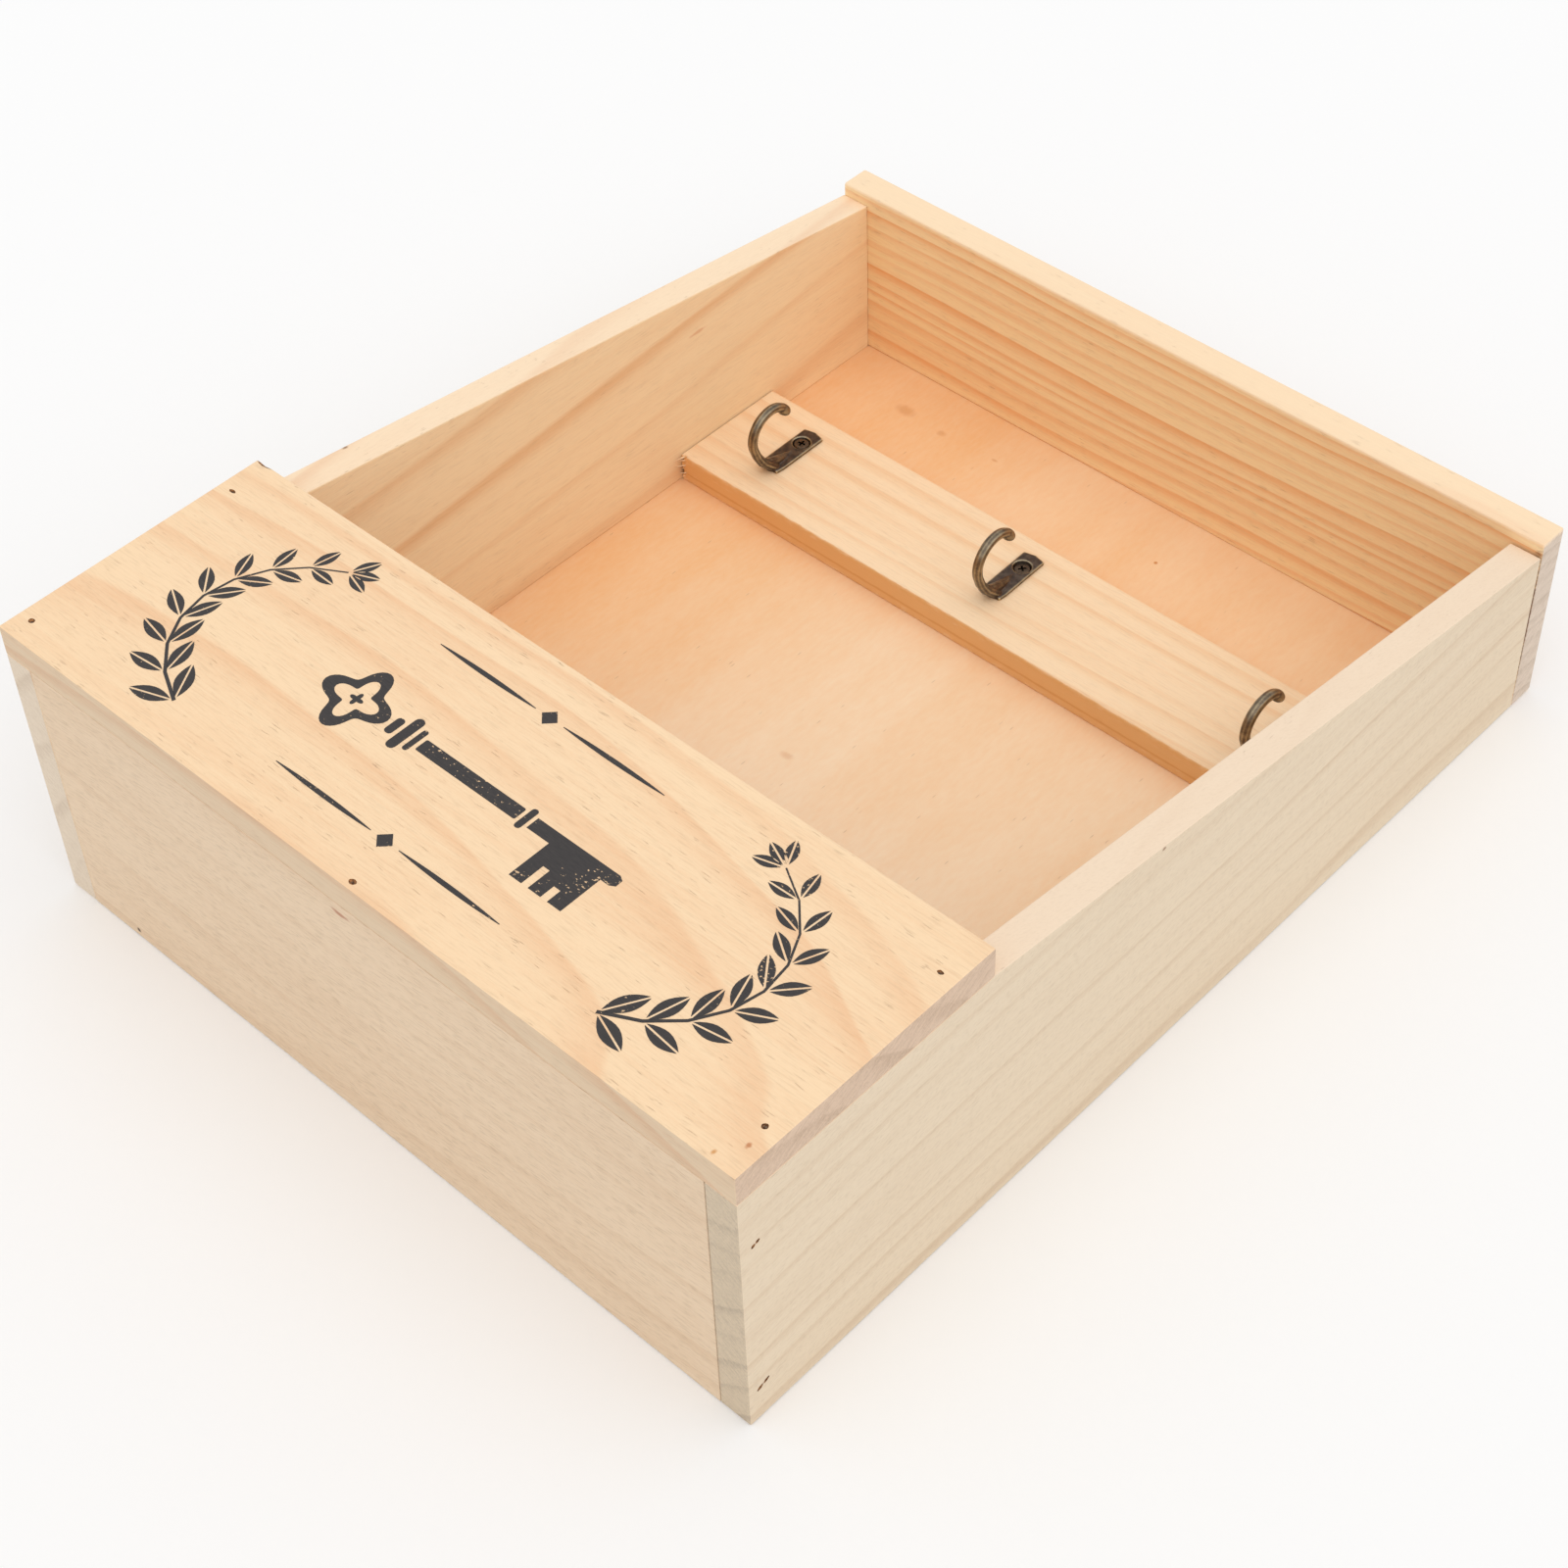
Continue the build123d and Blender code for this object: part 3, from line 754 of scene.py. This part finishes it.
tip_half = Vector((1.8, 1.5, 2.3)) * MM
tip_droop = 0.3 * MM
arm_end = 1.5 * MM
casting_detail = 0.16 * MM
ridge_rub = 3.0
arm_rub_and_highlight = 0.1
arm_highlight_height = 9 * MM
wear_passes = 3

# Sections of the rib up the plate: how far up and out its middle is, and its half width and half height
rib_sections = [(-9.6, 2.5, 1.3, 1.3), (-7.9, 1.9, 1.45, 1.5), (-6.2, 1.45, 1.35, 1.25),
                (-4.4, 1.1, 1.2, 0.95), (-2.6, 0.8, 1.0, 0.65), (-0.8, 0.6, 0.75, 0.45),
                (0.4, 0.5, 0.5, 0.4)]

# Steps of the arm's foot into the plate: how far up and out its middle is, and how much it gains each way
foot_steps = [(-12.1, 6.1, 1.08, 1.05), (-10.4, 3.3, 1.15, 1.1), (-7.4, 0.5, 1.4, 1.2)]


def on_bend(a):
    """The middle of the arm at this turn round its bend."""
    return bend_middle + Vector((0, math.cos(a), math.sin(a))) * bend_radius


def draw_out(steps):
    """Extrudes what is selected, step by step. A step is a move, and a gain in size along X, Y and Z."""
    for move, gain in steps:
        bpy.ops.mesh.extrude_region_move(TRANSFORM_OT_translate={"value": move})
        bpy.ops.transform.resize(value=gain)


hook = add_block("hook", (-plate_half.x, -plate_half.y, 0), (plate_half.x, plate_half.y, plate_thickness),
                 brass_finish)
select_where(hook, lambda co: True)
bpy.ops.mesh.bisect(plane_co=(0, 0, 0), plane_no=(1, 0, 0))
select_where(hook, lambda co: abs(co.x) < hair and co.y > 0)
bpy.ops.transform.translate(value=(0, end_point, 0))
select_where(hook, lambda co: True)
bpy.ops.mesh.bisect(plane_co=(0, -plate_half.y + low_end, 0), plane_no=(0, 1, 0))
select_where(hook, lambda co: co.y < -plate_half.y + hair)
bpy.ops.transform.resize(value=(low_end_share, 1, 1))
bpy.ops.object.mode_set(mode="OBJECT")

rib_y, rib_z, rib_half_width, rib_half_height = rib_sections[0]
bpy.ops.object.select_all(action="DESELECT")
bpy.ops.mesh.primitive_circle_add(vertices=12, radius=1, fill_type="NGON", rotation=(quarter, 0, 0),
                                  location=Vector((0, rib_y, rib_z)) * MM)
rib = bpy.context.object
rib.scale = Vector((rib_half_width, rib_half_height, 1)) * MM
bpy.ops.object.transform_apply(location=True, rotation=True, scale=True)
select_where(rib, lambda co: True)
draw_out([(Vector((0, after[0] - before[0], after[1] - before[1])) * MM,
           (after[2] / before[2], 1, after[3] / before[3]))
          for before, after in zip(rib_sections, rib_sections[1:])])
bpy.ops.mesh.select_all(action="SELECT")
bpy.ops.mesh.normals_make_consistent(inside=False)
bpy.ops.object.mode_set(mode="OBJECT")

bpy.ops.object.select_all(action="DESELECT")
bpy.ops.mesh.primitive_circle_add(vertices=8, radius=1, fill_type="NGON", location=on_bend(root_turn),
                                  rotation=(root_turn, 0, 0))
arm = bpy.context.object
arm.scale = arm_half
bpy.ops.object.transform_apply(location=True, rotation=True, scale=True)
select_where(arm, lambda co: True)
bpy.ops.mesh.spin(steps=40, angle=root_turn - tip_turn, center=bend_middle, axis=(1, 0, 0))
foot_middles = [on_bend(root_turn)] + [Vector((0, step[0], step[1])) * MM for step in foot_steps]
select_where(arm, lambda co: (co - foot_middles[0]).length < arm_end)
draw_out([(after - before, (step[2], step[3], step[3]))
          for before, after, step in zip(foot_middles, foot_middles[1:], foot_steps)])
bpy.ops.object.mode_set(mode="OBJECT")

bpy.ops.object.select_all(action="DESELECT")
tip_middle = on_bend(tip_turn) - Vector((0, math.cos(tip_turn), math.sin(tip_turn))) * tip_droop
bpy.ops.mesh.primitive_uv_sphere_add(segments=24, ring_count=16, radius=1, location=tip_middle,
                                     rotation=(tip_turn, 0, 0))
tip = bpy.context.object
tip.scale = tip_half
bpy.ops.object.transform_apply(location=True, rotation=True, scale=True)
for shape in (rib, arm, tip):
    shape.select_set(True)
hook.select_set(True)
bpy.context.view_layer.objects.active = hook
bpy.ops.object.join()
finish_modifier(hook, "REMESH", mode="VOXEL", voxel_size=casting_detail)
finish_modifier(hook, "SMOOTH", factor=0.5, iterations=6)


def note_wear(mesh):
    """Keeps each vertex's wear: how far it stands out from its neighbours, and a little for its height,
    which is partly rubbing by keys and partly a painted highlight up the arm."""
    normals = [vertex.normal.copy() for vertex in mesh.vertices]
    wear = [0.0] * len(normals)
    count = [0] * len(normals)
    for edge in mesh.edges:
        first, second = edge.vertices
        line = (mesh.vertices[first].co - mesh.vertices[second].co).normalized()
        wear[first] += line.dot(normals[first])
        wear[second] -= line.dot(normals[second])
        count[first] += 1
        count[second] += 1
    wear = [value / max(number, 1) for value, number in zip(wear, count)]
    for smoothing in range(wear_passes):
        total = wear[:]
        for edge in mesh.edges:
            first, second = edge.vertices
            total[first] += wear[second]
            total[second] += wear[first]
        wear = [value / (number + 1) for value, number in zip(total, count)]
    # The height term paints the arm lighter the higher it stands: partly wear from keys, partly painted
    # highlight.
    kept = [ridge_rub * value + arm_rub_and_highlight * min(vertex.co.z / arm_highlight_height, 1.0)
            for value, vertex in zip(wear, mesh.vertices)]
    mesh.attributes.new("wear", "FLOAT", "POINT").data.foreach_set("value", kept)


def place_copy(model, name, place, turn):
    """A copy of a model with its own mesh, which holds its place and its turn about Z."""
    copy = bpy.data.objects.new(name, model.data.copy())
    bpy.context.collection.objects.link(copy)
    copy.location = place
    copy.rotation_euler = (0, 0, turn)
    select_only(copy)
    bpy.ops.object.transform_apply(location=True, rotation=True, scale=True)
    return copy


hole_mouth = Vector((0, screw_up, plate_thickness)) + clear_of_face
drill_hole(hook, hole_mouth, bevel_mouth, bevel_floor, bevel_depth, brass_finish)
# The hole's inner wall gets the painted recess shade.
drill_hole(hook, hole_mouth, hole_mouth_radius, hole_floor_radius, hole_depth, recess_shade_finish)
note_wear(hook.data)
select_only(hook)
bpy.ops.object.shade_smooth_by_angle(angle=math.radians(40))

hook_turns = {"hook_left": 0.5, "hook_middle": 1.5, "hook_right": 0.0}
rail_face = rail_high.z
for node, degrees in hook_turns.items():
    screw_low, screw_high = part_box(node.replace("hook", "hook_screw"))
    turn = math.radians(degrees)
    place = (screw_low + screw_high) / 2 + Vector((math.sin(turn), -math.cos(turn), 0)) * screw_up
    place.z = rail_face
    copy = place_copy(hook, node + "_casting", place, turn)
    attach(copy, "root")
    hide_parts(node)
bpy.data.objects.remove(hook)

# Hook screws: steel, countersunk, with a cross recess, blacked like the hooks and driven through them into
# the rail. One is drawn out of a disc and copied to its three places. The middle one went in deepest.
screw_finish = blacked("blacked_steel", tint(88, 73, 60), tint(116, 96, 78))
screw_low, screw_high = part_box("hook_screw_left")
shorter = 0.5
screw_length = (screw_high.z - screw_low.z) / MM - shorter
point_length = 2.0
shank_radius = 1.1
head_radius = 1.95
slot_half = Vector((1.05, 0.27, 0.6)) * MM

# Sections from the point to the crown of the head: the height above the head's rim, and the radius
screw_sections = [(-screw_length, 0.2), (point_length - screw_length, shank_radius), (-1.1, shank_radius),
                  (-0.12, head_radius), (0, 1.85), (0.08, 1.3), (0.12, 0.6)]
point_height, point_radius = screw_sections[0]
bpy.ops.object.select_all(action="DESELECT")
bpy.ops.mesh.primitive_circle_add(vertices=40, radius=point_radius * MM, fill_type="NGON",
                                  location=(0, 0, point_height * MM))
screw = bpy.context.object
bpy.ops.object.transform_apply(location=True, rotation=True, scale=True)
select_where(screw, lambda co: True)
draw_out([((0, 0, (after[0] - before[0]) * MM), (after[1] / before[1], after[1] / before[1], 1))
          for before, after in zip(screw_sections, screw_sections[1:])])
bpy.ops.mesh.select_all(action="SELECT")
bpy.ops.mesh.normals_make_consistent(inside=False)
bpy.ops.object.mode_set(mode="OBJECT")
screw.data.materials.append(screw_finish)
# The cross recess is cut with the painted recess shade on its walls.
for half in (slot_half, Vector((slot_half.y, slot_half.x, slot_half.z))):
    carve(screw, add_block("recess", -half, half, recess_shade_finish))
select_only(screw)
bpy.ops.object.shade_smooth_by_angle(angle=math.radians(35))

# How many millimetres each screw sits below its plate's face, and how many degrees its cross is turned
driven = {"hook_screw_left": (0.3, 8), "hook_screw_middle": (0.72, 48), "hook_screw_right": (0.35, 25)}
for node, (sink, degrees) in driven.items():
    screw_low, screw_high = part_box(node)
    place = (screw_low + screw_high) / 2
    place.z = rail_face + plate_thickness - sink * MM
    copy = place_copy(screw, node + "_turned", place, math.radians(degrees))
    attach(copy, "root")
    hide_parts(node)
bpy.data.objects.remove(screw)

# Studio: a pale matt floor just under the box, a white sky and one broad soft lamp, from above and to the
# right. The camera stands where the photograph was taken from, with its lens.
floor_size = 6.0
floor_gap = 0.2 * MM
floor_tone = 0.97
sky_strength = 0.8
lamp_place = Vector((0.55, -0.32, 1.35))
lamp_strength = 0.72
lamp_spread = math.radians(80)
camera_place = Vector((327.7, -344.8, 502.6)) * MM
camera_turn = (43.41, 1.52, 42.89)
photo_pixels = 1600
focal_pixels = 3058.5
sensor = 36.0

bpy.ops.object.select_all(action="DESELECT")
bpy.ops.mesh.primitive_plane_add(size=floor_size, location=(0, 0, -floor_gap))
floor = bpy.context.object
floor.name = "studio_floor"
floor_finish = bpy.data.materials.new("pale_floor")
floor_finish.use_nodes = True
floor_shader = floor_finish.node_tree.nodes["Principled BSDF"]
floor_shader.inputs["Base Color"].default_value = (floor_tone, floor_tone, floor_tone, 1)
floor_shader.inputs["Roughness"].default_value = 0.9
floor_shader.inputs["Specular IOR Level"].default_value = 0.0
floor.data.materials.append(floor_finish)

world = bpy.data.worlds.new("studio")
world.use_nodes = True
world.node_tree.nodes["Background"].inputs["Color"].default_value = (1, 1, 1, 1)
world.node_tree.nodes["Background"].inputs["Strength"].default_value = sky_strength
bpy.context.scene.world = world

bpy.ops.object.light_add(type="SUN", location=lamp_place)
lamp = bpy.context.object
lamp.data.energy = lamp_strength
lamp.data.angle = lamp_spread
lamp.rotation_euler = (-lamp_place).to_track_quat("-Z", "Y").to_euler()

bpy.ops.object.camera_add(location=camera_place, rotation=[math.radians(a) for a in camera_turn])
camera = bpy.context.object
camera.data.sensor_width = sensor
camera.data.lens = focal_pixels / photo_pixels * sensor
camera.data.clip_start = 0.01
bpy.context.scene.camera = camera
